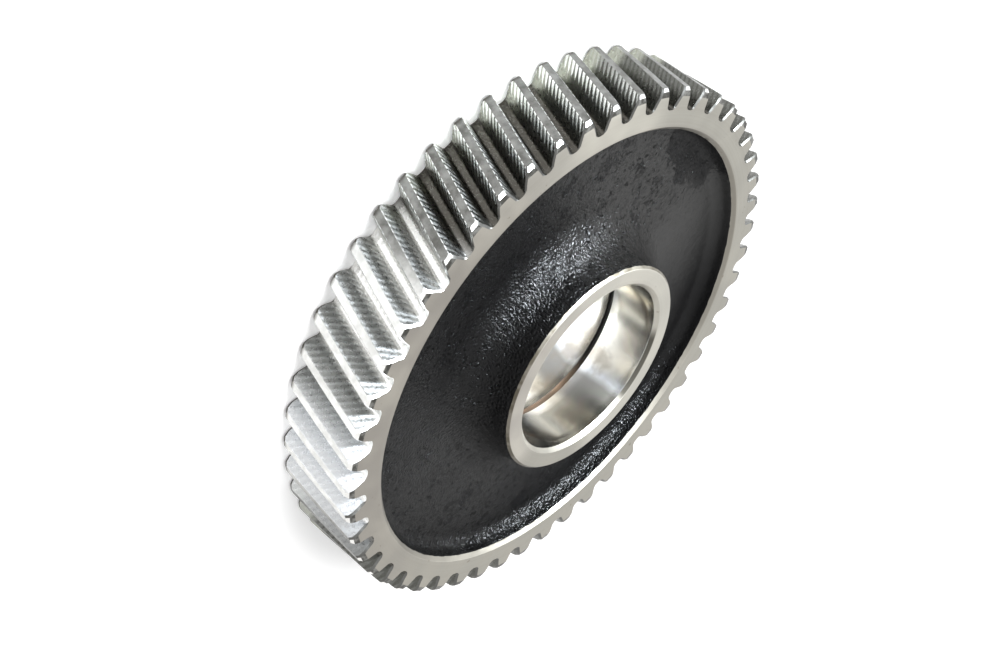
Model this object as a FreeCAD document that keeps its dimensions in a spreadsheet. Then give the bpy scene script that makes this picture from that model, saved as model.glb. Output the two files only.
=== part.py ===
import FreeCAD, Part
import Sketcher
import os

# Timing gear: one forged and machined steel piece with right-hand helical teeth on a
# rim, a web recessed on both sides, and a hub raised on the front round a plain bore.
# The gear lies on its back end face. +Z runs along the bore towards the front, and the
# origin is the centre of the back face. A tooth is centred on +X at the front face.
# Lengths are in millimetres and angles in degrees.

# Driving sizes. Everything else is worked out from these.
SIZES = {
    # Teeth, measured in the normal section where the name says so
    "teeth": 51,
    "normal_module": 3.0,
    "pressure_angle": 20.0,
    "helix_angle": 21.0,
    "addendum": 2.8,
    "dedendum": 3.6,
    "tooth_thinning": 0.08,
    "root_corner": 0.9,
    # Front and back corners of the teeth: a 45 degree bevel, then a shallow relief
    "tip_bevel": 0.75,
    "relief_depth": 0.35,
    "relief_width": 1.55,
    # Rim
    "face_width": 27.0,
    "rim_wall": 5.1,
    "rim_bevel": 1.2,
    # Web and the draft of its walls
    "front_recess": 6.5,
    "back_recess": 7.0,
    "wall_draft": 8.0,
    "front_flare": 12.0,
    "rim_corner": 3.0,
    "back_hub_corner": 3.5,
    # Hub and bore
    "hub_rise": 8.5,
    "hub_wall": 6.6,
    "hub_bevel": 0.75,
    "bore_radius": 27.5,
    "bore_chamfer": 1.2,
    "groove_width": 1.6,
    "groove_depth": 0.8,
    # How far the cutting tools run past the metal
    "runout": 1.5,
}


def formula(text):
    """Turn a formula in plain size names into an expression that reads the sheet."""
    words = {name: "Sizes." + name for name in SIZES}
    return "(" + text.format(**words) + ")"


# Circles of the teeth
PITCH = formula("{teeth} * {normal_module} / 2 / cos({helix_angle} * 1deg)")
TIP = formula(PITCH + " + {addendum}")
ROOT = formula(PITCH + " - {dedendum}")
TRANSVERSE_ANGLE = formula("atan(tan({pressure_angle} * 1deg) / cos({helix_angle} * 1deg))")
BASE = formula(PITCH + " * cos(" + TRANSVERSE_ANGLE + ")")

# One turn of the tooth helix, and its turn in degrees per millimetre of height
LEAD = formula("2 * pi * " + PITCH + " / tan({helix_angle} * 1deg)")
TWIST = formula("360 / " + LEAD)

# Radii and heights of the blank
BEVELLED = formula(TIP + " - {tip_bevel}")
RELIEVED = formula(BEVELLED + " - {relief_width}")
RIM_INNER = formula(ROOT + " - {rim_wall}")
HUB_OUTER = formula("{bore_radius} + {hub_wall}")
FRONT_FACE = formula("{face_width}")
HUB_FACE = formula("{face_width} + {hub_rise}")
WEB_FRONT = formula("{face_width} - {front_recess}")
WEB_BACK = formula("{back_recess}")
SLOPE = formula("tan({wall_draft} * 1deg)")

# Heights of the drafted walls between the web and the bevels
FRONT_RIM_WALL = formula("{front_recess} - {rim_bevel}")
BACK_RIM_WALL = formula("{back_recess} - {rim_bevel}")
FRONT_HUB_WALL = formula("{front_recess} + {hub_rise} - {hub_bevel}")
BACK_HUB_WALL = formula("{back_recess} - {hub_bevel}")


def foot(top, direction, wall):
    """Radius at the foot of a drafted wall that starts at the radius top."""
    return formula(top + " " + direction + " " + wall + " * " + SLOPE)


RIM_BEVELLED = formula(RIM_INNER + " - {rim_bevel}")
FRONT_RIM_FOOT = foot(RIM_BEVELLED, "-", FRONT_RIM_WALL)
BACK_RIM_FOOT = foot(RIM_BEVELLED, "-", BACK_RIM_WALL)
FRONT_HUB_FOOT = foot(HUB_OUTER, "+", FRONT_HUB_WALL)
BACK_HUB_FOOT = foot(HUB_OUTER, "+", BACK_HUB_WALL)

# A corner takes up to this share of the wall that it stands on
CORNER_SHARE = 0.9


def limited(corner, wall):
    """Expression for a corner size that its wall can hold."""
    return "min({0}; {1} * {2})".format(formula(corner), CORNER_SHARE, wall)


def make_sheet(document):
    """Spreadsheet with one named cell for each driving size."""
    sheet = document.addObject("Spreadsheet::Sheet", "Sizes")
    for row, (name, value) in enumerate(SIZES.items(), start=1):
        sheet.set("A%d" % row, name)
        sheet.set("B%d" % row, str(value))
        sheet.setAlias("B%d" % row, name)
    document.recompute()
    return sheet


def origin_plane(body, role):
    """Origin plane of a body by its role."""
    return next(item for item in body.Origin.OriginFeatures if item.Role == role)


def value_of(sheet, expression):
    """Present value of an expression as a plain number."""
    result = sheet.evalExpression(expression)
    return float(getattr(result, "Value", result))


def new_sketch(body, name, role):
    """Empty sketch on one of the body's origin planes."""
    sketch = body.newObject("Sketcher::SketchObject", name)
    sketch.AttachmentSupport = [(origin_plane(body, role), "")]
    sketch.MapMode = "FlatFace"
    return sketch


def pin(sketch, geometry, end, across, up):
    """Bind one point of a sketch to two expressions measured from its origin."""
    for kind, expression in (("DistanceX", across), ("DistanceY", up)):
        present = value_of(sketch.Document.Sizes, expression)
        constraint = Sketcher.Constraint(kind, -1, 1, geometry, end, present)
        index = sketch.addConstraint(constraint)
        sketch.setExpression("Constraints[%d]" % index, expression)


def add_outline(sketch, corners):
    """Closed outline of straight lines through corners given as pairs of expressions."""
    sheet = sketch.Document.Sizes
    points = [FreeCAD.Vector(value_of(sheet, a), value_of(sheet, b), 0) for a, b in corners]
    first = sketch.GeometryCount
    count = len(points)
    for place in range(count):
        line = Part.LineSegment(points[place], points[(place + 1) % count])
        sketch.addGeometry(line)
    for place in range(count):
        here = first + place
        following = first + (place + 1) % count
        sketch.addConstraint(Sketcher.Constraint("Coincident", here, 2, following, 1))
        pin(sketch, here, 1, *corners[place])


def make_blank(body):
    """Half section of the blank, from the bore out to the tip circle, turned round Z."""
    sketch = new_sketch(body, "BlankSection", "XZ_Plane")
    bore = formula("{bore_radius}")
    bore_edge = formula("{bore_radius} + {bore_chamfer}")
    hub_edge = formula(HUB_OUTER + " - {hub_bevel}")
    zero = "0"
    add_outline(
        sketch,
        [
            (bore, formula("{bore_chamfer}")),
            (bore_edge, zero),
            (hub_edge, zero),
            (HUB_OUTER, formula("{hub_bevel}")),
            (BACK_HUB_FOOT, WEB_BACK),
            (BACK_RIM_FOOT, WEB_BACK),
            (RIM_BEVELLED, formula("{rim_bevel}")),
            (RIM_INNER, zero),
            (RELIEVED, zero),
            (BEVELLED, formula("{relief_depth}")),
            (TIP, formula("{relief_depth} + {tip_bevel}")),
            (TIP, formula(FRONT_FACE + " - {relief_depth} - {tip_bevel}")),
            (BEVELLED, formula(FRONT_FACE + " - {relief_depth}")),
            (RELIEVED, FRONT_FACE),
            (RIM_INNER, FRONT_FACE),
            (RIM_BEVELLED, formula(FRONT_FACE + " - {rim_bevel}")),
            (FRONT_RIM_FOOT, WEB_FRONT),
            (FRONT_HUB_FOOT, WEB_FRONT),
            (HUB_OUTER, formula(HUB_FACE + " - {hub_bevel}")),
            (hub_edge, HUB_FACE),
            (bore_edge, HUB_FACE),
            (bore, formula(HUB_FACE + " - {bore_chamfer}")),
        ],
    )
    blank = body.newObject("PartDesign::Revolution", "Blank")
    blank.Profile = sketch
    blank.ReferenceAxis = (sketch, ["V_Axis"])
    blank.Angle = 360
    body.Document.recompute()


def ring_edge(shape, radius, height):
    """Name of the circular edge of a turned shape at a radius and height."""
    best = None
    for number, edge in enumerate(shape.Edges, start=1):
        if edge.Curve.TypeId != "Part::GeomCircle":
            continue
        error = abs(edge.Curve.Radius - radius) + abs(edge.Curve.Center.z - height)
        if best is None or error < best[0]:
            best = (error, "Edge%d" % number)
    return best[1]


def soften(body, kind, name, foot_radius, height, size_name, size):
    """Round or bevel the corner where a wall meets the web."""
    sheet = body.Document.Sizes
    base = body.Tip
    edge = ring_edge(base.Shape, value_of(sheet, foot_radius), value_of(sheet, height))
    feature = body.newObject(kind, name)
    feature.Base = (base, [edge])
    feature.setExpression(size_name, size)
    body.Document.recompute()


def make_groove(body):
    """Groove round the middle of the bore."""
    sketch = new_sketch(body, "GrooveSection", "XZ_Plane")
    inside = formula("{bore_radius} - {runout}")
    floor = formula("{bore_radius} + {groove_depth}")
    low = formula("(" + HUB_FACE + " - {groove_width}) / 2")
    high = formula("(" + HUB_FACE + " + {groove_width}) / 2")
    add_outline(sketch, [(inside, low), (floor, low), (floor, high), (inside, high)])
    groove = body.newObject("PartDesign::Groove", "BoreGroove")
    groove.Profile = sketch
    groove.ReferenceAxis = (sketch, ["V_Axis"])
    groove.Angle = 360
    body.Document.recompute()


def gap_angle(radius):
    """Half the angle of the gap between two involute flanks at a radius, in degrees."""
    involute = "(tan({0}) * 180 / pi - {0} / 1deg)"
    here = "acos(min(1; {0} / {1}))".format(BASE, radius)
    thinning = formula("{tooth_thinning} / 2 / " + PITCH + " * 180 / pi")
    return formula("90 / {teeth}") + " + {0} - {1} + {2}".format(
        thinning, involute.format(TRANSVERSE_ANGLE), involute.format(here)
    )


def polar(radius, angle, side):
    """Point at a radius and an angle in degrees on one side, as a pair of expressions."""
    turn = "((" + angle + ") * 1deg)"
    return "{0} * cos({1})".format(radius, turn), "{0} * {1} * sin({2})".format(side, radius, turn)


# Straight steps in each flank of a section; their ends lie on the involute
FLANK_STEPS = 3


def gap_side(side):
    """One side of a gap's outline, from the root to beyond the tip circle."""
    root_angle = gap_angle(ROOT)
    half_root = formula("(" + root_angle + ") * pi / 180 * " + ROOT)
    corner = formula(limited("{root_corner}", half_root))
    corner_angle = formula(corner + " / " + ROOT + " * 180 / pi")
    start = formula(ROOT + " + " + corner)
    depth = formula(TIP + " + {runout} - " + start)
    radii = [
        formula("%s + %d / %d * %s" % (start, step, FLANK_STEPS, depth))
        for step in range(FLANK_STEPS + 1)
    ]
    foot = polar(ROOT, root_angle + " - " + corner_angle, side)
    return [foot] + [polar(radius, gap_angle(radius), side) for radius in radii]


def make_gap_section(body, number, height):
    """Section of one gap between teeth at a height, turned to follow the tooth helix.

    The outline runs out along one involute flank, closes outside the tip circle, and
    comes back along the other flank. A bevel stands for the round in each root corner.
    """
    sketch = new_sketch(body, "GapSection%d" % number, "XY_Plane")
    turn = formula("180 / {teeth} + (" + height + " - {face_width}) * " + TWIST)
    sketch.AttachmentOffset = FreeCAD.Placement(
        FreeCAD.Vector(0, 0, 0), FreeCAD.Rotation(FreeCAD.Vector(0, 0, 1), 1)
    )
    sketch.setExpression("AttachmentOffset.Base.z", height)
    sketch.setExpression("AttachmentOffset.Rotation.Angle", turn)
    add_outline(sketch, gap_side(-1) + gap_side(1)[::-1])
    return sketch


# Sections that the gap passes through from below the rim to above it
GAP_SECTIONS = 4


def make_teeth(body):
    """Cut one helical gap through the rim and repeat it round the gear."""
    sections = []
    for number in range(GAP_SECTIONS):
        share = number / (GAP_SECTIONS - 1)
        height = formula("%.12g * ({face_width} + 2 * {runout}) - {runout}" % share)
        sections.append(make_gap_section(body, number + 1, height))
    body.Document.recompute()

    gap = body.newObject("PartDesign::SubtractiveLoft", "ToothGap")
    gap.Profile = sections[0]
    gap.Sections = sections[1:]
    gap.Ruled = False
    gap.Closed = False
    gap.Refine = False
    body.Document.recompute()

    pattern = body.newObject("PartDesign::PolarPattern", "ToothGaps")
    pattern.Originals = [gap]
    pattern.Axis = (sections[0], ["N_Axis"])
    pattern.Angle = 360
    pattern.Refine = False
    pattern.setExpression("Occurrences", formula("{teeth}"))
    body.Tip = pattern
    body.Document.recompute()


def make_gear(document):
    """The whole gear as one body."""
    body = document.addObject("PartDesign::Body", "TimingGear")
    body.Label = "timing_gear"
    make_blank(body)
    soften(
        body, "PartDesign::Fillet", "HubFlare", FRONT_HUB_FOOT, WEB_FRONT,
        "Radius", limited("{front_flare}", FRONT_HUB_WALL),
    )
    soften(
        body, "PartDesign::Chamfer", "BackHubCorner", BACK_HUB_FOOT, WEB_BACK,
        "Size", limited("{back_hub_corner}", BACK_HUB_WALL),
    )
    soften(
        body, "PartDesign::Chamfer", "FrontRimCorner", FRONT_RIM_FOOT, WEB_FRONT,
        "Size", limited("{rim_corner}", FRONT_RIM_WALL),
    )
    soften(
        body, "PartDesign::Chamfer", "BackRimCorner", BACK_RIM_FOOT, WEB_BACK,
        "Size", limited("{rim_corner}", BACK_RIM_WALL),
    )
    make_groove(body)
    make_teeth(body)
    return body


def check_document(document):
    """Stop on any object that failed to compute."""
    for item in document.Objects:
        failed = [word for word in item.State if word in ("Invalid", "Error")]
        if failed:
            raise RuntimeError("%s is %s: %s" % (item.Label, failed, item.getStatusString()))


def check_cuts(body):
    """Stop if a cut took no metal away."""
    previous = None
    for item in body.Group:
        if not hasattr(item, "Shape") or item.isDerivedFrom("Sketcher::SketchObject"):
            continue
        volume = item.Shape.Volume
        print("%-18s %10.1f mm3" % (item.Name, volume))
        cuts = item.isDerivedFrom("PartDesign::Groove") or item.Name in ("ToothGap", "ToothGaps")
        if cuts and volume >= previous:
            raise RuntimeError("%s cut nothing" % item.Name)
        previous = volume


def check_shape(body):
    """Stop unless the body is one valid solid."""
    shape = body.Shape
    if shape.isNull() or not shape.isValid() or len(shape.Solids) != 1:
        raise RuntimeError("%s is not one valid solid" % body.Label)


def main():
    document = FreeCAD.newDocument("TimingGear")
    make_sheet(document)
    gear = make_gear(document)
    document.recompute()
    check_document(document)
    check_cuts(gear)
    check_shape(gear)
    os.makedirs("parts", exist_ok=True)
    gear.Shape.exportStep("parts/" + gear.Label + ".step")


main()
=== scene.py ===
import math
from collections import namedtuple

import bpy
import numpy as np
from mathutils import Matrix, Vector, noise


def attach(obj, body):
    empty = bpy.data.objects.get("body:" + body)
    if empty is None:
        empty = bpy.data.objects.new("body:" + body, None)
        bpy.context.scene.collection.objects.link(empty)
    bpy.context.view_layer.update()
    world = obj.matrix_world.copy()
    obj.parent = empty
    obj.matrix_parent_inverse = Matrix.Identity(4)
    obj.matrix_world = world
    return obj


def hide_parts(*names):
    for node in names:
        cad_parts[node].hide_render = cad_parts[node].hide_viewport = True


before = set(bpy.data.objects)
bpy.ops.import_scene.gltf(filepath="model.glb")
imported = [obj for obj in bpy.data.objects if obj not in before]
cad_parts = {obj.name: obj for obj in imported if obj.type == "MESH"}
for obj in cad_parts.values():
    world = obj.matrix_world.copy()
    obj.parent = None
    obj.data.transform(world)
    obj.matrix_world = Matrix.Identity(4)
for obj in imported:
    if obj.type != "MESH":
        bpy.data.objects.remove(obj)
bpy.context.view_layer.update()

# Looks of a helical timing gear: a dressed mesh of the same form as the solid, with
# machined teeth, faces and bore, and a black forging skin on the web.
# Sizes are in millimetres and angles in degrees, as in the part. Only the noise in the
# materials is counted per metre, and the lamps and the floor are placed in metres.

MM = 0.001

# Driving sizes of the gear
TEETH = 51
NORMAL_MODULE = 3.0
PRESSURE_ANGLE = 20.0
HELIX_ANGLE = 21.0
ADDENDUM = 2.8
DEDENDUM = 3.6
TOOTH_THINNING = 0.08
TIP_BEVEL = 0.75
RELIEF_DEPTH = 0.35
RELIEF_WIDTH = 1.55
FACE_WIDTH = 27.0
RIM_WALL = 5.1
RIM_BEVEL = 1.2
FRONT_RECESS = 6.5
BACK_RECESS = 7.0
WALL_DRAFT = 8.0
FRONT_FLARE = 12.0
HUB_RISE = 8.5
HUB_WALL = 6.6
HUB_BEVEL = 0.75
BORE_RADIUS = 27.5
BORE_CHAMFER = 1.2
GROOVE_WIDTH = 1.6
GROOVE_DEPTH = 0.8

# Roundings that only the dressed mesh has
ROOT_ROUND = 0.9
TIP_BREAK = 0.14
FLANK_BREAK = 0.5
RIM_FILLET = 4.0
BACK_HUB_FILLET = 4.5
BEVEL_FOOT = 0.25
EDGE_BREAK = 0.12
# Keeps the rounded tips inside the solid, whose tips are cut into flats
TIP_MARGIN = 0.002

# Circles and heights worked out from the driving sizes
HELIX = math.radians(HELIX_ANGLE)
PITCH_ANGLE = 2 * math.pi / TEETH
PITCH_RADIUS = TEETH * NORMAL_MODULE / 2 / math.cos(HELIX)
TIP_RADIUS = PITCH_RADIUS + ADDENDUM
ROOT_RADIUS = PITCH_RADIUS - DEDENDUM
TRANSVERSE_ANGLE = math.atan(math.tan(math.radians(PRESSURE_ANGLE)) / math.cos(HELIX))
BASE_RADIUS = PITCH_RADIUS * math.cos(TRANSVERSE_ANGLE)
RIM_RADIUS = ROOT_RADIUS - RIM_WALL
HUB_RADIUS = BORE_RADIUS + HUB_WALL
HUB_FACE = FACE_WIDTH + HUB_RISE
TURN_PER_MM = math.tan(HELIX) / PITCH_RADIUS
BEVEL_START = TIP_RADIUS - TIP_BEVEL
RELIEF_START = BEVEL_START - RELIEF_WIDTH

# How fine the dressed mesh is, and the angle from which its edges stay sharp
ACROSS_TOOTH = 6
ROOT_STEPS = 4
COLUMNS_PER_TOOTH = ACROSS_TOOTH + ROOT_STEPS
ROUND_STEPS = 4
HELIX_STEPS = 8
SHARP_ANGLE = 24.0

# Material slots of the dressed mesh
SKIN, TURNED, FLANK, LAND, BEVEL, RELIEF, BORED, GROOVED, BROKEN = range(9)

# One corner of the half section: its place, its rounding and the steps round it, and the
# material and the length of the strips that follow it
Corner = namedtuple("Corner", "radius height rounding steps slot strip")


def involute(angle):
    """Involute function of an angle in radians."""
    return math.tan(angle) - angle


def tooth_half_angle(radius):
    """Half the angle that a tooth takes up at a radius, in radians."""
    here = involute(math.acos(min(1.0, BASE_RADIUS / radius)))
    thinning = TOOTH_THINNING / 2 / PITCH_RADIUS
    return math.pi / 2 / TEETH - thinning + involute(TRANSVERSE_ANGLE) - here


def end_height(radius):
    """How far a tooth's end lies inside the rim's face at a radius."""
    if radius <= RELIEF_START:
        return 0.0
    if radius <= BEVEL_START:
        return RELIEF_DEPTH * (radius - RELIEF_START) / RELIEF_WIDTH
    return RELIEF_DEPTH + radius - BEVEL_START


def flank_break(radius):
    """Width of the broken edge between a tooth's end and its flank at a radius."""
    return FLANK_BREAK * min(1.0, max(0.0, (radius - ROOT_RADIUS) / ROOT_ROUND))


def end_slot(radius):
    """Material of a tooth's end face at a radius."""
    if radius > BEVEL_START:
        return BEVEL
    if radius > RELIEF_START:
        return RELIEF
    return TURNED


def half_tooth():
    """Outline of half a tooth as (radius, angle from its middle), from the root to the tip."""
    foot_angle = tooth_half_angle(ROOT_RADIUS)
    flank_foot = ROOT_RADIUS + ROOT_ROUND
    start = (ROOT_RADIUS, foot_angle + ROOT_ROUND / ROOT_RADIUS)
    corner = (ROOT_RADIUS, foot_angle)
    end = (flank_foot, tooth_half_angle(flank_foot))
    points = []
    for step in range(ROUND_STEPS + 1):
        t = step / ROUND_STEPS
        weights = ((1 - t) ** 2, 2 * t * (1 - t), t * t)
        points.append(tuple(
            sum(w * p[axis] for w, p in zip(weights, (start, corner, end))) for axis in (0, 1)
        ))
    top = TIP_RADIUS - TIP_BREAK
    lower = [flank_foot + (RELIEF_START - flank_foot) * k / 3 for k in (1, 2, 3)]
    middle = [(RELIEF_START + BEVEL_START) / 2, BEVEL_START]
    upper = [(BEVEL_START + top) / 2, top]
    points += [(radius, tooth_half_angle(radius)) for radius in lower + middle + upper]
    land_half = tooth_half_angle(TIP_RADIUS) - TIP_BREAK / TIP_RADIUS
    points.append((TIP_RADIUS - TIP_MARGIN, land_half))
    return points


def arc_points(before, corner, after, radius, steps):
    """Points that round a corner of the half section with a radius."""
    corner, before, after = (np.array(p, float) for p in (corner, before, after))
    to_before = (before - corner) / np.linalg.norm(before - corner)
    to_after = (after - corner) / np.linalg.norm(after - corner)
    opening = math.acos(float(np.clip(to_before @ to_after, -1, 1)))
    reach = radius / math.tan(opening / 2)
    middle = to_before + to_after
    centre = corner + middle / np.linalg.norm(middle) * radius / math.sin(opening / 2)
    start = corner + to_before * reach - centre
    end = corner + to_after * reach - centre
    turn = math.pi - opening
    points = []
    for step in range(steps + 1):
        t = step / steps
        share = (math.sin((1 - t) * turn) * start + math.sin(t * turn) * end) / math.sin(turn)
        points.append(tuple(centre + share))
    return points


def section_corners():
    """Corners of the half section, from the front root circle through the bore to the back."""
    slope = math.tan(math.radians(WALL_DRAFT))
    web_front = FACE_WIDTH - FRONT_RECESS
    web_back = BACK_RECESS
    rim_edge = RIM_RADIUS - RIM_BEVEL
    hub_edge = HUB_RADIUS - HUB_BEVEL
    bore_edge = BORE_RADIUS + BORE_CHAMFER
    front_rim_foot = rim_edge - (FRONT_RECESS - RIM_BEVEL) * slope
    front_hub_foot = HUB_RADIUS + (HUB_FACE - HUB_BEVEL - web_front) * slope
    back_hub_foot = HUB_RADIUS + (web_back - HUB_BEVEL) * slope
    back_rim_foot = rim_edge - (web_back - RIM_BEVEL) * slope
    groove_low = (HUB_FACE - GROOVE_WIDTH) / 2
    groove_high = (HUB_FACE + GROOVE_WIDTH) / 2
    groove_floor = BORE_RADIUS + GROOVE_DEPTH
    return [
        Corner(ROOT_RADIUS, FACE_WIDTH, 0, 0, TURNED, 1.3),
        Corner(RIM_RADIUS, FACE_WIDTH, EDGE_BREAK, 2, TURNED, 1.0),
        Corner(rim_edge, FACE_WIDTH - RIM_BEVEL, BEVEL_FOOT, 2, SKIN, 0.8),
        Corner(front_rim_foot, web_front, RIM_FILLET, 7, SKIN, 0.95),
        Corner(front_hub_foot, web_front, FRONT_FLARE, 17, SKIN, 0.8),
        Corner(HUB_RADIUS, HUB_FACE - HUB_BEVEL, 0, 0, TURNED, 0.4),
        Corner(hub_edge, HUB_FACE, EDGE_BREAK, 2, TURNED, 1.3),
        Corner(bore_edge, HUB_FACE, EDGE_BREAK, 2, TURNED, 0.7),
        Corner(BORE_RADIUS, HUB_FACE - BORE_CHAMFER, EDGE_BREAK, 2, BORED, 3.0),
        Corner(BORE_RADIUS, groove_high, EDGE_BREAK, 2, GROOVED, 0.8),
        Corner(groove_floor, groove_high, 0, 0, GROOVED, 0.8),
        Corner(groove_floor, groove_low, 0, 0, GROOVED, 0.8),
        Corner(BORE_RADIUS, groove_low, EDGE_BREAK, 2, BORED, 3.0),
        Corner(BORE_RADIUS, BORE_CHAMFER, EDGE_BREAK, 2, TURNED, 0.7),
        Corner(bore_edge, 0, EDGE_BREAK, 2, TURNED, 2.0),
        Corner(hub_edge, 0, EDGE_BREAK, 2, TURNED, 0.4),
        Corner(HUB_RADIUS, HUB_BEVEL, 0, 0, SKIN, 1.6),
        Corner(back_hub_foot, web_back, BACK_HUB_FILLET, 4, SKIN, 2.6),
        Corner(back_rim_foot, web_back, RIM_FILLET, 4, SKIN, 1.8),
        Corner(rim_edge, RIM_BEVEL, BEVEL_FOOT, 2, TURNED, 1.0),
        Corner(RIM_RADIUS, 0, EDGE_BREAK, 2, TURNED, 2.6),
        Corner(ROOT_RADIUS, 0, 0, 0, TURNED, 0),
    ]


def half_section():
    """Points of the half section as (radius, height), and the material of each strip."""
    corners = section_corners()
    points, slots = [corners[0][:2]], []
    for before, corner, after in zip(corners, corners[1:], corners[2:] + [None]):
        if corner.rounding:
            rounded = arc_points(
                before[:2], corner[:2], after[:2], corner.rounding, corner.steps
            )
        else:
            rounded = [corner[:2]]
        last = np.array(points[-1])
        gap = np.array(rounded[0]) - last
        count = max(1, round(float(np.linalg.norm(gap)) / before.strip))
        points += [tuple(last + gap * step / count) for step in range(1, count + 1)]
        slots += [before.slot] * count
        points += rounded[1:]
        slots += [corner.slot] * (len(rounded) - 1)
    return points, slots


def skin_relief(place):
    """Height of the forging skin above its nominal surface at a place, in millimetres."""
    swell = noise.noise(place * 0.09) * 0.10
    lumps = noise.noise(place * 0.33 + Vector((7, 3, 1))) * 0.07
    scale = noise.noise(place * 0.9 + Vector((1, 9, 4)))
    flakes = max(0.0, scale - 0.25) * 0.16
    pits = -max(0.0, noise.noise(place * 0.7 + Vector((3, 3, 8))) - 0.42) * 0.7
    return swell + lumps + flakes + pits


def ragged_edge(place):
    """How far the edge between skin and turned steel strays along the section at a place."""
    return noise.noise(place * 0.55) * 0.16 + noise.noise(place * 1.7) * 0.08


class GearMesh:
    """The dressed mesh while it is built, from rings of vertices round the gear."""

    def __init__(self):
        self.vertices, self.faces, self.slots = [], [], []
        self.outline = half_tooth()

    def add(self, radius, angle, height):
        """Number of a new vertex."""
        self.vertices.append((radius * math.cos(angle), radius * math.sin(angle), height))
        return len(self.vertices) - 1

    def face(self, corners, slot):
        """New face with its material slot."""
        self.faces.append(corners)
        self.slots.append(slot)

    def columns(self):
        """Angles round the front root circle, first across each tooth and then its gap."""
        base_half = self.outline[0][1]
        gap = PITCH_ANGLE - 2 * base_half
        angles = []
        for tooth in range(TEETH):
            middle = tooth * PITCH_ANGLE
            for step in range(ACROSS_TOOTH):
                angles.append(middle - base_half + 2 * base_half * step / ACROSS_TOOTH)
            for step in range(ROOT_STEPS):
                angles.append(middle + base_half + gap * step / ROOT_STEPS)
        return np.array(angles)

    def revolve(self):
        """Surface of revolution through the bore, as its first and last ring."""
        section, strip_slots = half_section()
        columns = self.columns()
        total_turn = -FACE_WIDTH * TURN_PER_MM
        rings = []
        for index, (radius, height) in enumerate(section):
            share = min(1.0, max(0.0, (FACE_WIDTH - height) / FACE_WIDTH))
            before = np.array(section[max(0, index - 1)])
            after = np.array(section[min(len(section) - 1, index + 1)])
            along = (after - before) / np.linalg.norm(after - before)
            outward = np.array((along[1], -along[0]))
            touching = set(strip_slots[max(0, index - 1):index + 1])
            ring = []
            for angle in columns + share * total_turn:
                place = Vector((radius * math.cos(angle), radius * math.sin(angle), height))
                across, up = radius, height
                if touching == {SKIN}:
                    across, up = (radius, height) + outward * skin_relief(place)
                elif SKIN in touching:
                    across, up = (radius, height) + along * ragged_edge(place)
                ring.append(self.add(across, angle, up))
            rings.append(ring)
        for here, following, slot in zip(rings, rings[1:], strip_slots):
            for column in range(len(here)):
                after = (column + 1) % len(here)
                self.face((here[column], here[after], following[after], following[column]), slot)
        return rings[0], rings[-1]

    def tooth_ends(self, ring, face_height, inward):
        """Ends of the teeth round a root circle, and the outline that they leave."""
        rim = []
        for tooth in range(TEETH):
            first = tooth * COLUMNS_PER_TOOTH
            middle = tooth * PITCH_ANGLE
            rows = [ring[first:first + ACROSS_TOOTH + 1]]
            for radius, half in self.outline[1:]:
                height = face_height + inward * end_height(radius)
                turn = middle + (height - FACE_WIDTH) * TURN_PER_MM
                half -= flank_break(radius) / radius
                rows.append([
                    self.add(radius, turn + half * (2 * step / ACROSS_TOOTH - 1), height)
                    for step in range(ACROSS_TOOTH + 1)
                ])
            for row, (lower, upper) in enumerate(zip(rows, rows[1:])):
                slot = end_slot((self.outline[row][0] + self.outline[row + 1][0]) / 2)
                for step in range(ACROSS_TOOTH):
                    corners = (lower[step], upper[step], upper[step + 1], lower[step + 1])
                    self.face(corners if inward > 0 else corners[::-1], slot)
            right = [row[0] for row in rows]
            left = [row[-1] for row in rows[::-1]]
            root_start = first + ACROSS_TOOTH
            root = [ring[(root_start + step) % len(ring)] for step in range(1, ROOT_STEPS)]
            rim += right + rows[-1][1:-1] + left + root
        return rim

    def shoulder(self, rim, inward):
        """Ring a little inside a tooth end, where the flanks' broken edges begin."""
        flank, land, root = len(self.outline), ACROSS_TOOTH - 1, ROOT_STEPS - 1
        ring = []
        for index, vertex in enumerate(rim):
            x, y, height = self.vertices[vertex]
            radius, angle = math.hypot(x, y), math.atan2(y, x)
            place = index % (2 * flank + land + root)
            width = flank_break(radius)
            if place < flank:
                angle -= width / radius
            elif flank + land <= place < 2 * flank + land:
                angle += width / radius
            depth = inward * width
            ring.append(self.add(radius, angle + depth * TURN_PER_MM, height + depth))
        return ring

    def side_slots(self, flank_slot):
        """Materials along one tooth and its gap, with the flanks in a slot."""
        flank = [flank_slot] * (len(self.outline) - 1)
        return flank + [LAND] * ACROSS_TOOTH + flank + [FLANK] * ROOT_STEPS

    def sweep(self, front_end, back_end):
        """Flanks, tip lands and roots along the helix between the two ends."""
        front, back = self.shoulder(front_end, -1), self.shoulder(back_end, 1)
        levels = [front_end, front]
        for level in range(1, HELIX_STEPS):
            share = level / HELIX_STEPS
            ring = []
            for one, other in zip(front, back):
                x, y, top = self.vertices[one]
                height = top + (self.vertices[other][2] - top) * share
                angle = math.atan2(y, x) + (height - top) * TURN_PER_MM
                ring.append(self.add(math.hypot(x, y), angle, height))
            levels.append(ring)
        levels += [back, back_end]
        for upper, lower in zip(levels, levels[1:]):
            broken = upper is front_end or lower is back_end
            slots = self.side_slots(BROKEN if broken else FLANK)
            for index in range(len(upper)):
                after = (index + 1) % len(upper)
                slot = slots[index % len(slots)]
                self.face((upper[index], lower[index], lower[after], upper[after]), slot)


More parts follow.
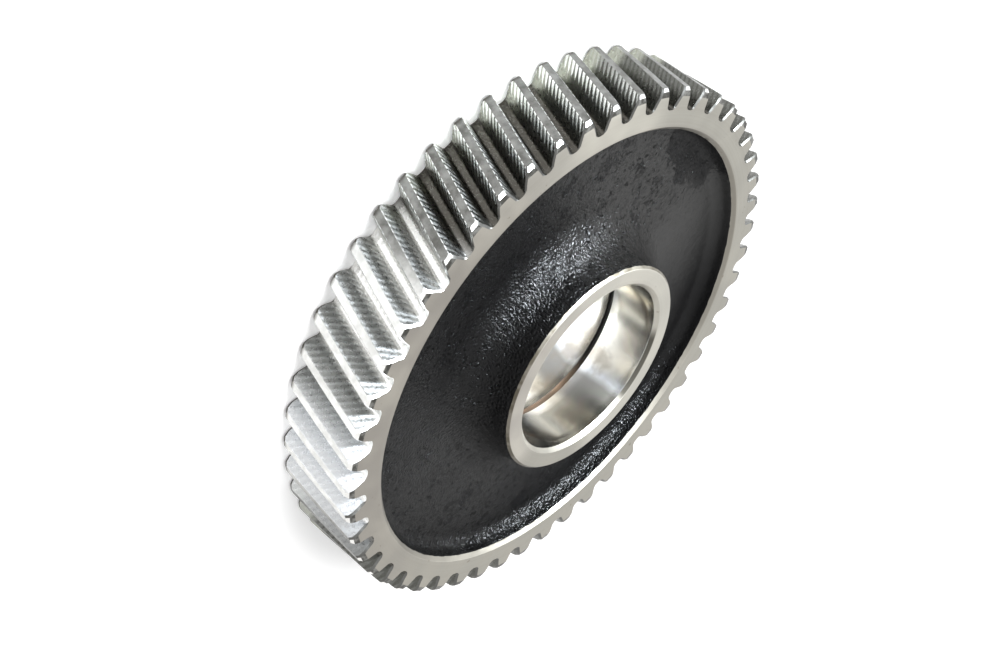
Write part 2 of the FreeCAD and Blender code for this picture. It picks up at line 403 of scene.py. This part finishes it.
def dressed_gear():
    """The whole gear as one object, with its material slots set but still empty."""
    build = GearMesh()
    front_root, back_root = build.revolve()
    front_end = build.tooth_ends(front_root, FACE_WIDTH, -1)
    back_end = build.tooth_ends(back_root, 0.0, 1)
    build.sweep(front_end, back_end)
    mesh = bpy.data.meshes.new("timing_gear_dressed")
    places = [tuple(c * MM for c in vertex) for vertex in build.vertices]
    mesh.from_pydata(places, [], build.faces)
    mesh.polygons.foreach_set("material_index", build.slots)
    mesh.polygons.foreach_set("use_smooth", [True] * len(build.faces))
    mesh.set_sharp_from_angle(angle=math.radians(SHARP_ANGLE))
    mesh.update()
    gear = bpy.data.objects.new("timing_gear_dressed", mesh)
    bpy.context.scene.collection.objects.link(gear)
    return gear


class Surface:
    """One material, with short forms for building its nodes."""

    def __init__(self, name):
        self.material = bpy.data.materials.new(name)
        self.material.use_nodes = True
        self.tree = self.material.node_tree
        self.shader = self.tree.nodes["Principled BSDF"]
        self.place = self.add("ShaderNodeTexCoord").outputs["Object"]
        parts = self.add("ShaderNodeSeparateXYZ")
        self.link(self.place, parts.inputs[0])
        x, y, self.height = parts.outputs
        self.radius = self.math("SQRT", self.math("MULTIPLY_ADD", y, y, self.times(x, x)))
        self.angle = self.math("ARCTAN2", y, x)

    def add(self, kind, **settings):
        """New node with some of its settings."""
        node = self.tree.nodes.new(kind)
        for name, value in settings.items():
            setattr(node, name, value)
        return node

    def link(self, output, target):
        self.tree.links.new(output, target)

    def feed(self, socket, value):
        """Give a socket a number, a colour or another node's output."""
        if isinstance(value, bpy.types.NodeSocket):
            self.link(value, socket)
        elif isinstance(value, tuple):
            socket.default_value = value + (1.0,)
        else:
            socket.default_value = value

    def math(self, operation, *values):
        """Result of a sum with numbers and outputs."""
        node = self.add("ShaderNodeMath", operation=operation)
        for socket, value in zip(node.inputs, values):
            self.feed(socket, value)
        return node.outputs[0]

    def times(self, first, second):
        return self.math("MULTIPLY", first, second)

    def plus(self, first, second):
        return self.math("ADD", first, second)

    def combine(self, *values):
        """Vector of one to three values."""
        node = self.add("ShaderNodeCombineXYZ")
        for socket, value in zip(node.inputs, values):
            self.feed(socket, value)
        return node.outputs[0]

    def noise(self, per_metre, detail, roughness=0.55, vector=None):
        """Cloudy noise with a number of lumps to the metre."""
        node = self.add("ShaderNodeTexNoise")
        node.inputs["Scale"].default_value = per_metre
        node.inputs["Detail"].default_value = detail
        node.inputs["Roughness"].default_value = roughness
        self.link(vector or self.place, node.inputs["Vector"])
        return node.outputs["Fac"]

    def cells(self, per_metre, waver):
        """Distance to the border between random cells, which wavers by some metres."""
        cloud = self.add("ShaderNodeTexNoise")
        cloud.inputs["Scale"].default_value = per_metre * 2
        cloud.inputs["Detail"].default_value = 3.0
        self.link(self.place, cloud.inputs["Vector"])
        moved = self.add("ShaderNodeVectorMath", operation="MULTIPLY_ADD")
        moved.inputs[1].default_value = (waver, waver, waver)
        self.link(cloud.outputs["Color"], moved.inputs[0])
        self.link(self.place, moved.inputs[2])
        node = self.add("ShaderNodeTexVoronoi", feature="DISTANCE_TO_EDGE")
        node.inputs["Scale"].default_value = per_metre
        self.link(moved.outputs[0], node.inputs["Vector"])
        return node.outputs["Distance"]

    def ramp(self, value, low, high, start=0.0, end=1.0):
        """Value mapped from one range to another, and held at its ends."""
        node = self.add("ShaderNodeMapRange", interpolation_type="SMOOTHSTEP")
        for socket, number in zip(node.inputs, (value, low, high, start, end)):
            self.feed(socket, number)
        return node.outputs["Result"]

    def outwards(self, low, high, start=0.0, end=1.0):
        """Value that changes between two radii, given in millimetres."""
        return self.ramp(self.radius, low * MM, high * MM, start, end)

    def upwards(self, low, high, start=0.0, end=1.0):
        """Value that changes between two heights, given in millimetres."""
        return self.ramp(self.height, low * MM, high * MM, start, end)

    def side(self, degrees, low, high):
        """1 on the side of the gear that faces an angle, falling to 0 away from it."""
        turned = self.math("SUBTRACT", self.angle, math.radians(degrees))
        return self.ramp(self.math("COSINE", turned), low, high)

    def stops(self, value, colours):
        """Colour that changes along a value, from (place, colour) pairs."""
        node = self.add("ShaderNodeValToRGB")
        ramp = node.color_ramp
        ramp.interpolation = "EASE"
        while len(ramp.elements) < len(colours):
            ramp.elements.new(0.5)
        for element, (place, colour) in zip(ramp.elements, colours):
            element.position = place
            element.color = colour + (1.0,)
        self.link(value, node.inputs["Fac"])
        return node.outputs["Color"]

    def mix(self, factor, first, second):
        """Colour between two colours."""
        node = self.add("ShaderNodeMix", data_type="RGBA")
        colours = [socket for socket in node.inputs if socket.type == "RGBA"]
        self.feed(node.inputs["Factor"], factor)
        self.feed(colours[0], first)
        self.feed(colours[1], second)
        return next(socket for socket in node.outputs if socket.type == "RGBA")

    def bump(self, height, distance, below=None):
        """Relief whose full height is a distance in millimetres, on top of another relief."""
        node = self.add("ShaderNodeBump")
        node.inputs["Distance"].default_value = distance * MM
        self.link(height, node.inputs["Height"])
        if below:
            self.link(below, node.inputs["Normal"])
        return node.outputs["Normal"]

    def finish(self, **inputs):
        """Set the shader's inputs by name, with underscores for spaces."""
        for name, value in inputs.items():
            self.feed(self.shader.inputs[name.replace("_", " ")], value)
        return self.material


# Side of the gear whose colours carry painted light and shade, in degrees round the axis
PAINTED_SIDE = -60
# Distance between the cutter's marks along the teeth, and how far they lean
CUTTER_FEED = 1.9 * MM
CUTTER_LEAN = 0.55
# Heights between which the gear changes from its back end to its front end
BACK_TO_FRONT = (10, 20)
# Radii on the web, between which tones of the hub end and tones of the rim begin
HUB_FADE = (40, 45)
RIM_FADE = (50, 55)


def turned_steel():
    """Rim and hub faces: pale, warm satin steel with fine turning rings and a few specks, darkened
    in places by painted shade.
    """
    warm, warm_shaded = (0.54, 0.52, 0.46), (0.43, 0.40, 0.36)
    clouded, ring_mark, shade = (0.44, 0.405, 0.345), (0.42, 0.39, 0.34), (0.02, 0.012, 0.0)
    hub_stain, rim_stain = (0.10, 0.088, 0.066), (0.16, 0.145, 0.12)
    chamfer_shade, speck = (0.06, 0.055, 0.045), (0.16, 0.13, 0.10)

    look = Surface("turned_steel")
    rings = look.noise(2200, 2, vector=look.combine(look.radius, look.height, 0.0))
    cloud = look.noise(55, 4)
    blotch = look.noise(210, 4, 0.6)
    grain = look.noise(1400, 3)
    specks = look.ramp(look.noise(420, 3, 0.6), 0.68, 0.74)
    # Painted shade: the faces darken towards -60 degrees
    colour = look.mix(look.side(PAINTED_SIDE, 0.2, 1.0), warm, warm_shaded)
    colour = look.mix(look.ramp(cloud, 0.35, 0.65, 0.0, 0.6), colour, clouded)
    colour = look.mix(look.ramp(rings, 0.3, 0.7, 0.0, 0.3), colour, ring_mark)
    # Painted shade: the rim's face is darker than the hub's, less so towards -130 degrees, and the
    # faces darken towards 22 degrees
    lit = look.math("MULTIPLY_ADD", look.side(-130, 0.90, 0.99), -0.3, 1.0)
    outer = look.times(look.outwards(*RIM_FADE, 0.4), lit)
    painted_shade = look.times(look.math("MAXIMUM", outer, look.side(22, 0.72, 0.97)), 0.39)
    colour = look.mix(painted_shade, colour, shade)
    # The hub's outer bevel is stained and chipped
    bevel = look.outwards(HUB_RADIUS - HUB_BEVEL, HUB_RADIUS - HUB_BEVEL + 0.15)
    hub = look.times(bevel, look.outwards(*HUB_FADE, 1.0, 0.0))
    darkened = look.times(hub, look.ramp(blotch, 0.4, 0.6, 0.7, 1.0))
    colour = look.mix(darkened, colour, hub_stain)
    # The rim's inner bevel is duller than its face
    inner = look.outwards(RIM_RADIUS - 0.2, RIM_RADIUS, 0.5, 0.0)
    colour = look.mix(look.times(inner, look.outwards(*RIM_FADE)), colour, rim_stain)
    # Painted shade darkens one stretch of the bore's chamfer
    lip = look.outwards(BORE_RADIUS + 1.0, BORE_RADIUS + 1.25, 0.95, 0.0)
    colour = look.mix(look.times(lip, look.side(108, 0.86, 0.95)), colour, chamfer_shade)
    colour = look.mix(look.times(specks, 0.7), colour, speck)
    return look.finish(
        Base_Color=colour, Metallic=1.0,
        Normal=look.bump(grain, 0.012, look.bump(rings, 0.01)),
        Roughness=look.ramp(cloud, 0.3, 0.7, 0.36, 0.48),
    )


def flank_steel():
    """Tooth flanks: grey steel with the cutter's scallops, with painted light on one side of the
    gear and, elsewhere, painted shade with painted highlights that brighten towards the tips.
    """
    shade_dark, lit_back_end, highlight_streak = (0.10, 0.10, 0.09), (0.42, 0.43, 0.37), (0.85, 0.86, 0.84)
    satin_low, satin_high = (0.35, 0.355, 0.345), (0.46, 0.465, 0.455)
    lit_pale, scallop = (0.70, 0.715, 0.73), (0.75, 0.765, 0.775)
    shaded_root, lit_root = (0.085, 0.08, 0.07), (0.9, 0.895, 0.87)

    look = Surface("flank_steel")
    grain = look.noise(1100, 4, 0.6)
    cloud = look.noise(300, 4, 0.6)
    wobble = look.times(look.noise(90, 2), 2.5)
    leaning = look.math("MULTIPLY_ADD", look.radius, CUTTER_LEAN, look.height)
    wave = look.math("SINE", look.math("MULTIPLY_ADD", leaning, 2 * math.pi / CUTTER_FEED, wobble))
    # Shaded side: painted shade, lighter towards the back end as a painted reflection, with
    # painted highlight streaks along the cutter's marks that reach down from the tips on one
    # stretch
    rise = look.outwards(ROOT_RADIUS + 1.5, TIP_RADIUS, -1.3, 0.9)
    reach = look.plus(look.plus(wave, rise), cloud)
    strength = look.math("MULTIPLY_ADD", look.side(-115, 0.84, 0.94), 0.94, 0.06)
    highlight_streaks = look.times(look.ramp(reach, 0.6, 1.3), strength)
    shaded = look.mix(look.upwards(4, 8, 0.75, 0.0), shade_dark, lit_back_end)
    streaked = look.mix(highlight_streaks, shaded, highlight_streak)
    # Lit side: satin, with painted light towards -33 degrees, and pale scallops
    satin = look.mix(look.ramp(cloud, 0.3, 0.7), satin_low, satin_high)
    satin = look.mix(look.side(-33, 0.88, 0.97), satin, lit_pale)
    scalloped = look.mix(look.ramp(wave, -0.4, 1.0, 0.0, 0.45), satin, scallop)
    # Painted light and shade: the lit side's steel towards -60 degrees and the shaded side's
    # elsewhere, and the roots the same way
    body = look.mix(look.side(PAINTED_SIDE, 0.74, 0.94), streaked, scalloped)
    root = look.mix(look.side(PAINTED_SIDE, 0.79, 0.87), shaded_root, lit_root)
    rooted = look.outwards(ROOT_RADIUS + 0.3, ROOT_RADIUS + 1.1, 1.0, 0.0)
    return look.finish(
        Base_Color=look.mix(rooted, body, root), Metallic=1.0,
        Normal=look.bump(grain, 0.02, look.bump(wave, 0.03)),
        Roughness=look.ramp(grain, 0.25, 0.75, 0.22, 0.38),
    )


def land_steel():
    """Tops of the teeth: satin steel, faintly mottled, with painted light towards -60 degrees and
    painted shade elsewhere, and painted shade that darkens the back edge.
    """
    shaded_low, shaded_high = (0.11, 0.108, 0.10), (0.24, 0.24, 0.228)
    lit_low, lit_high = (0.64, 0.64, 0.62), (0.86, 0.86, 0.84)
    back_shade = (0.055, 0.05, 0.042)

    look = Surface("land_steel")
    grain = look.noise(900, 4, 0.65)
    mottle = look.ramp(look.noise(260, 4, 0.6), 0.32, 0.68)
    shaded_steel = look.mix(mottle, shaded_low, shaded_high)
    lit_steel = look.mix(mottle, lit_low, lit_high)
    # Painted light on the lands towards -60 degrees, painted shade elsewhere
    colour = look.mix(look.side(PAINTED_SIDE, 0.86, 0.93), shaded_steel, lit_steel)
    # Painted shade darkens the back edge, where the gear rests on the floor
    return look.finish(
        Base_Color=look.mix(look.upwards(0.9, 2.4, 0.85, 0.0), colour, back_shade),
        Metallic=1.0, Normal=look.bump(grain, 0.03),
        Roughness=look.ramp(grain, 0.25, 0.75, 0.28, 0.46),
    )


def bevel_steel():
    """Bevels on the tooth ends: bright, freshly cut steel, with painted shade at the back end."""
    darkened, fresh = (0.13, 0.12, 0.105), (0.9, 0.89, 0.86)
    look = Surface("bevel_steel")
    grain = look.noise(1500, 3)
    # Painted shade darkens the bevels at the back end, where the gear rests on the floor
    return look.finish(
        Base_Color=look.mix(look.upwards(*BACK_TO_FRONT), darkened, fresh),
        Metallic=1.0, Normal=look.bump(grain, 0.015),
        Roughness=look.ramp(grain, 0.3, 0.7, 0.2, 0.34),
    )


def broken_edge():
    """Broken edges at the ends of the flanks: painted light towards -64 degrees, painted shade
    elsewhere and at the back end.
    """
    darkened, shaded_steel, rubbed_and_lit = (0.07, 0.065, 0.055), (0.12, 0.118, 0.11), (0.95, 0.94, 0.92)
    look = Surface("broken_edge")
    grain = look.noise(700, 3)
    # Painted light towards -64 degrees, painted shade elsewhere
    front = look.mix(look.side(-64, 0.90, 0.96), shaded_steel, rubbed_and_lit)
    # Painted shade darkens the back end, where the gear rests on the floor
    return look.finish(
        Base_Color=look.mix(look.upwards(*BACK_TO_FRONT), darkened, front),
        Metallic=1.0, Normal=look.bump(grain, 0.03),
        Roughness=look.ramp(grain, 0.3, 0.7, 0.3, 0.42),
    )


def relief_steel():
    """Reliefs on the tooth ends: dark, rubbed steel."""
    darkened, rubbed_and_lit = (0.06, 0.057, 0.05), (0.2, 0.195, 0.18)
    look = Surface("relief_steel")
    cloud = look.noise(500, 4, 0.6)
    return look.finish(
        Base_Color=look.mix(look.ramp(cloud, 0.4, 0.65), darkened, rubbed_and_lit),
        Metallic=1.0, Normal=look.bump(cloud, 0.03), Roughness=0.4,
    )


# Painted reflections on the bore wall, as bands: the share of a half turn from the first tooth,
# to both sides of it, and the colour there
BORE_REFLECTIONS = (
    (0.12, (0.10, 0.10, 0.095)), (0.26, (0.95, 0.92, 0.85)), (0.34, (0.62, 0.58, 0.50)),
    (0.40, (0.26, 0.255, 0.245)), (0.47, (0.30, 0.30, 0.295)), (0.51, (0.82, 0.85, 0.90)),
    (0.55, (1.0, 1.0, 0.97)), (0.68, (1.0, 1.0, 0.97)), (0.73, (0.42, 0.42, 0.40)),
    (0.79, (0.28, 0.28, 0.27)), (0.85, (0.66, 0.62, 0.52)), (0.93, (0.12, 0.12, 0.11)),
)


def bored_steel():
    """Bore wall: polished steel with painted reflections in bands along it, and brown stains."""
    stain = (0.30, 0.245, 0.18)
    look = Surface("bored_steel")
    cloud = look.noise(60, 4, 0.6)
    lines = look.noise(3000, 2, vector=look.combine(look.height, 0.0, 0.0))
    turn = look.math("DIVIDE", look.math("ABSOLUTE", look.angle), math.pi)
    # The bands waver, and lean along the bore
    shift = look.math("MULTIPLY_ADD", look.noise(30, 2), 0.12, -0.06)
    skew = look.math("MULTIPLY_ADD", look.height, 1.2, -0.02)
    painted_reflections = look.stops(look.plus(look.plus(turn, shift), skew), BORE_REFLECTIONS)
    return look.finish(
        Base_Color=look.mix(look.ramp(cloud, 0.52, 0.7, 0.0, 0.6), painted_reflections, stain),
        Metallic=1.0, Normal=look.bump(lines, 0.004),
        Roughness=look.ramp(cloud, 0.3, 0.8, 0.14, 0.28),
    )


def groove_shade_and_stain():
    """Groove in the bore: black as painted shade, turning brown with stains on one side."""
    black, brown = (0.01, 0.009, 0.008), (0.24, 0.16, 0.10)
    look = Surface("groove_shade_and_stain")
    patches = look.times(look.side(35, 0.5, 0.95), look.ramp(look.noise(90, 3), 0.3, 0.6, 0.5))
    # Painted shade: the groove is black, with brown stains in patches on one side
    return look.finish(
        Base_Color=look.mix(patches, black, brown), Metallic=0.4, Roughness=0.55
    )


def forging_skin():
    """Web: black forging skin, rough and a little glossy, with pits and short cracks, and painted
    light that greys one side.
    """
    black, lit_and_worn, speck = (0.006, 0.006, 0.0066), (0.054, 0.054, 0.053), (0.006, 0.006, 0.0065)
    blot, deep = (0.003, 0.003, 0.0035), (0.002, 0.002, 0.002)

    look = Surface("forging_skin")
    grain = look.noise(2200, 3, 0.65)
    lumps = look.noise(330, 4, 0.6)
    rough = look.math("SUBTRACT", 1.0, look.side(135, 0.72, 0.97))
    # Painted light: lighter grey on one side, and a little on the opposite one, with random wear
    # on top
    wear = look.times(look.noise(38, 4, 0.6), 0.2)
    tone = look.math("MULTIPLY_ADD", look.side(185, 0.45, 1.0), 0.8, wear)
    tone = look.math("MULTIPLY_ADD", look.side(5, 0.7, 1.0), 0.2, tone)
    colour = look.mix(tone, black, lit_and_worn)
    speckle = look.times(look.ramp(look.noise(520, 4, 0.75), 0.5, 0.62), rough)
    colour = look.mix(look.times(speckle, 0.55), colour, speck)
    # Black blots, which run together near the rim on one side
    gathered = look.times(look.side(178, 0.955, 0.985), look.outwards(58, 66))
    blots = look.ramp(look.plus(look.noise(85, 6, 0.75), look.times(gathered, 0.2)), 0.55, 0.6)
    blotting = look.times(blots, look.math("MAXIMUM", rough, gathered))
    colour = look.mix(look.times(blotting, 0.85), colour, blot)
    # Pits, and cracks that follow parts of the cells' borders
    pits = look.ramp(look.noise(620, 2), 0.6, 0.68)
    cracked = look.ramp(look.cells(110, 0.012), 0.0, 0.03, 1.0, 0.0)
    cracks = look.times(cracked, look.ramp(look.noise(170, 2), 0.54, 0.62))
    marks = look.times(look.math("MAXIMUM", cracks, pits), rough)
    flakes = look.times(look.cells(850, 0.0006), look.math("MULTIPLY_ADD", rough, 0.9, 0.1))
    relief = look.bump(lumps, 0.2)
    relief = look.bump(flakes, 0.4, relief)
    relief = look.bump(grain, 0.11, relief)
    relief = look.bump(marks, -0.15, relief)
    return look.finish(
        Base_Color=look.mix(marks, colour, deep), Metallic=0.0, Normal=relief,
        Specular_IOR_Level=0.12, Roughness=look.ramp(lumps, 0.3, 0.7, 0.14, 0.26),
    )


# Strength of the light around, and of the floor's own white where it is seen
AMBIENT = 0.4
FLOOR_LIFT = 0.3
# How far the floor reaches from the gear, and how far it lies below it, in metres
FLOOR_REACH = 4.0
FLOOR_DROP = 0.0001


def seen_directly(tree):
    """1 for rays from the camera, a reflection or clear material, and 0 for the rest."""
    path = tree.nodes.new("ShaderNodeLightPath")
    total = path.outputs["Is Camera Ray"]
    for name in ("Is Glossy Ray", "Is Transmission Ray"):
        join = tree.nodes.new("ShaderNodeMath")
        join.operation = "MAXIMUM"
        tree.links.new(total, join.inputs[0])
        tree.links.new(path.outputs[name], join.inputs[1])
        total = join.outputs[0]
    return total


def make_world():
    """White behind the object, and a plain ambient light on it."""
    world = bpy.data.worlds.new("studio")
    bpy.context.scene.world = world
    world.use_nodes = True
    tree = world.node_tree
    tree.nodes.clear()
    ambient = tree.nodes.new("ShaderNodeBackground")
    ambient.inputs["Strength"].default_value = AMBIENT
    white = tree.nodes.new("ShaderNodeBackground")
    white.inputs["Color"].default_value = (1, 1, 1, 1)
    white.inputs["Strength"].default_value = 1.0
    mix = tree.nodes.new("ShaderNodeMixShader")
    output = tree.nodes.new("ShaderNodeOutputWorld")
    tree.links.new(seen_directly(tree), mix.inputs[0])
    tree.links.new(ambient.outputs[0], mix.inputs[1])
    tree.links.new(white.outputs[0], mix.inputs[2])
    tree.links.new(mix.outputs[0], output.inputs[0])


def make_floor():
    """White floor that keeps the gear's soft shadow."""
    mesh = bpy.data.meshes.new("floor")
    corners = [
        (x * FLOOR_REACH, y * FLOOR_REACH, -FLOOR_DROP)
        for x, y in ((-1, -1), (1, -1), (1, 1), (-1, 1))
    ]
    mesh.from_pydata(corners, [], [(0, 1, 2, 3)])
    floor = bpy.data.objects.new("floor", mesh)
    bpy.context.scene.collection.objects.link(floor)
    material = bpy.data.materials.new("floor")
    material.use_nodes = True
    tree = material.node_tree
    shader = tree.nodes["Principled BSDF"]
    shader.inputs["Base Color"].default_value = (0.9, 0.9, 0.9, 1)
    shader.inputs["Roughness"].default_value = 0.9
    shader.inputs["Specular IOR Level"].default_value = 0.0
    lift = tree.nodes.new("ShaderNodeMath")
    lift.operation = "MULTIPLY"
    lift.inputs[1].default_value = FLOOR_LIFT
    tree.links.new(seen_directly(tree), lift.inputs[0])
    shader.inputs["Emission Color"].default_value = (1, 1, 1, 1)
    tree.links.new(lift.outputs[0], shader.inputs["Emission Strength"])
    mesh.materials.append(material)


# Camera axes, place and lens, from the photograph's perspective
CAMERA_RIGHT = Vector((-0.5816, 0.4080, 0.7038))
CAMERA_UP = Vector((-0.8125, -0.2487, -0.5273))
CAMERA_BACK = Vector((-0.0402, -0.8786, 0.4761))
CAMERA_PLACE = Vector((-11.8, -422.0, 232.9)) * MM
CAMERA_LENS = 58.7
CAMERA_SENSOR = 36.0


def make_camera():
    """Camera at the photograph's viewing angle."""
    data = bpy.data.cameras.new("camera")
    data.lens = CAMERA_LENS
    data.sensor_width = CAMERA_SENSOR
    data.clip_start = 0.01
    camera = bpy.data.objects.new("camera", data)
    turn = Matrix((CAMERA_RIGHT, CAMERA_UP, CAMERA_BACK)).transposed().to_4x4()
    camera.matrix_world = Matrix.Translation(CAMERA_PLACE) @ turn
    bpy.context.scene.collection.objects.link(camera)
    bpy.context.scene.camera = camera


# Places of the lamps, in metres
KEY_PLACE = (-0.45, -0.38, 0.92)
FILL_PLACE = (1.2, 0.1, 1.7)
GLINT_PLACE = (-0.74, -0.35, 0.73)
GLINT_COLOUR = (0.86, 0.93, 1.0)


def add_lamp(kind, name, place, **settings):
    """Lamp of a kind at a place, aimed at the gear."""
    data = bpy.data.lights.new(name, kind)
    for setting, value in settings.items():
        setattr(data, setting, value)
    lamp = bpy.data.objects.new(name, data)
    lamp.location = place
    middle = Vector((0, 0, HUB_FACE / 2 * MM))
    lamp.rotation_euler = (middle - lamp.location).to_track_quat("-Z", "Y").to_euler()
    bpy.context.scene.collection.objects.link(lamp)
    return lamp


def make_lamps():
    """Soft key and fill from two sides, and a lamp that only glints on the web's curves."""
    key = add_lamp("SUN", "key", KEY_PLACE, energy=2.1, angle=math.radians(32))
    fill = add_lamp("SUN", "fill", FILL_PLACE, energy=1.0, angle=math.radians(40))
    key.visible_glossy = fill.visible_glossy = False
    glint = add_lamp("AREA", "glint", GLINT_PLACE, energy=135.0, size=0.22, color=GLINT_COLOUR)
    glint.visible_diffuse = False


def main():
    gear = dressed_gear()
    # In the order of the material slots
    looks = (
        forging_skin, turned_steel, flank_steel, land_steel, bevel_steel, relief_steel,
        bored_steel, groove_shade_and_stain, broken_edge,
    )
    for look in looks:
        gear.data.materials.append(look())
    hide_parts("timing_gear")
    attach(gear, "root")
    make_world()
    make_floor()
    make_lamps()
    make_camera()
    bpy.context.scene.view_settings.view_transform = "Standard"


main()
